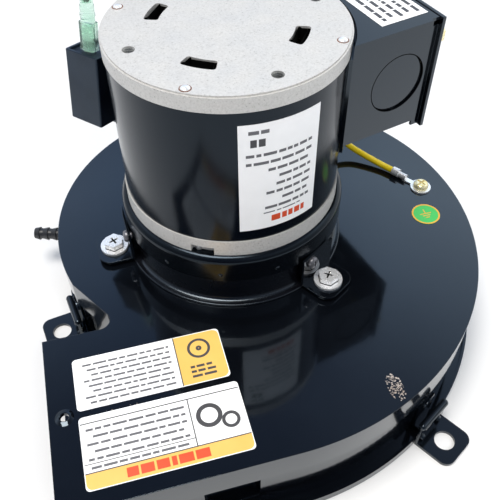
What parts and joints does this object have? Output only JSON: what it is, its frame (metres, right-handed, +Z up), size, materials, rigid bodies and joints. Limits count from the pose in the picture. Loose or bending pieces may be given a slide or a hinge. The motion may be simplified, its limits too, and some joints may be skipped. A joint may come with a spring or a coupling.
{
  "type": "combustion fan",
  "caption": "Furnace draft blower: a sheet-steel scroll housing with a flange-mounted motor, junction box, capacitor and feet.",
  "frame": {"origin": "centre of the round inlet, on the underside of the base pan", "axes": "+Z up the motor axis, -X out of the outlet, the junction box towards +X"},
  "size_m": [0.1952, 0.2119, 0.1446],
  "materials": {
    "housing_paint": "gloss black paint on sheet steel",
    "shield_paint": "satin black paint",
    "shell_paint": "gloss black paint",
    "cast_alloy": "fine cast and tumbled surface",
    "zinc_plate": "bright zinc plating",
    "yellow_zinc": "yellow zinc plating",
    "plain_steel": "rolled steel",
    "lamination": "stacked steel laminations",
    "copper_wire": "enamelled copper wire",
    "bronze": "sintered bronze",
    "galvanised": "galvanised sheet",
    "black_rubber": "matt rubber",
    "black_plastic": "moulded plastic",
    "capacitor_case": "satin moulded case",
    "clear_sleeve": "translucent green sleeve",
    "grey_nylon": "glass-filled nylon",
    "orange_plastic": "moulded cap",
    "ceramic": "sleeved thermal switch",
    "yellow_wire": "vinyl insulation",
    "black_wire": "vinyl insulation",
    "brown_wire": "vinyl insulation",
    "label_film": "white label film",
    "ground_green": "printed green film"
  },
  "bodies": {
    "root": {"base_pan": "housing_paint", "inlet_ring": "housing_paint", "scroll_band": "housing_paint", "scroll_top": "housing_paint", "window_pocket": "housing_paint", "foot_left": "housing_paint", "foot_right": "housing_paint", "foot_rear": "housing_paint", "foot_rivets": "housing_paint", "hose_barb": "black_plastic", "barb_nut": "zinc_plate", "heat_shield": "shield_paint", "shaft_seal": "black_rubber", "motor_cup": "shield_paint", "leg_left": "housing_paint", "leg_right": "housing_paint", "leg_rear": "housing_paint", "leg_pads": "black_rubber", "leg_screws": "zinc_plate", "cup_screws": "plain_steel", "lower_end_bell": "cast_alloy", "motor_shell": "shell_paint", "upper_end_bell": "cast_alloy", "stator_core": "lamination", "stator_windings": "copper_wire", "thermal_protector": "ceramic", "through_bolts": "zinc_plate", "bolt_nuts": "zinc_plate", "lower_bearing": "bronze", "upper_bearing": "bronze", "capacitor": "capacitor_case", "capacitor_bracket": "housing_paint", "capacitor_blades": "zinc_plate", "terminal_sleeves": "clear_sleeve", "capacitor_lead_front": "black_wire", "capacitor_lead_rear": "brown_wire", "lead_grommet": "black_rubber", "box_bracket": "housing_paint", "bracket_screws": "zinc_plate", "junction_box": "housing_paint", "knockout": "housing_paint", "box_cover": "housing_paint", "cover_screws": "yellow_zinc", "box_bushing": "black_rubber", "splice_caps": "orange_plastic", "ground_lead": "yellow_wire", "ring_terminal": "zinc_plate", "ground_screw": "yellow_zinc", "ground_mark": "ground_green", "nameplate": "label_film", "box_label": "label_film", "plate_labels": "label_film"},
    "rotor": {"shaft": "plain_steel", "rotor_cage": "lamination", "cooling_fan": "grey_nylon", "wheel_disc": "galvanised", "wheel_hub": "zinc_plate", "wheel_blades": "galvanised", "wheel_ring": "galvanised", "hub_screw": "plain_steel"}
  },
  "joints": [
    {"name": "rotor_spin", "type": "hinge", "parent": "root", "child": "rotor", "pos_m": [0, 0, 0.06], "axis": [0, 0, 1], "continuous": true}
  ]
}
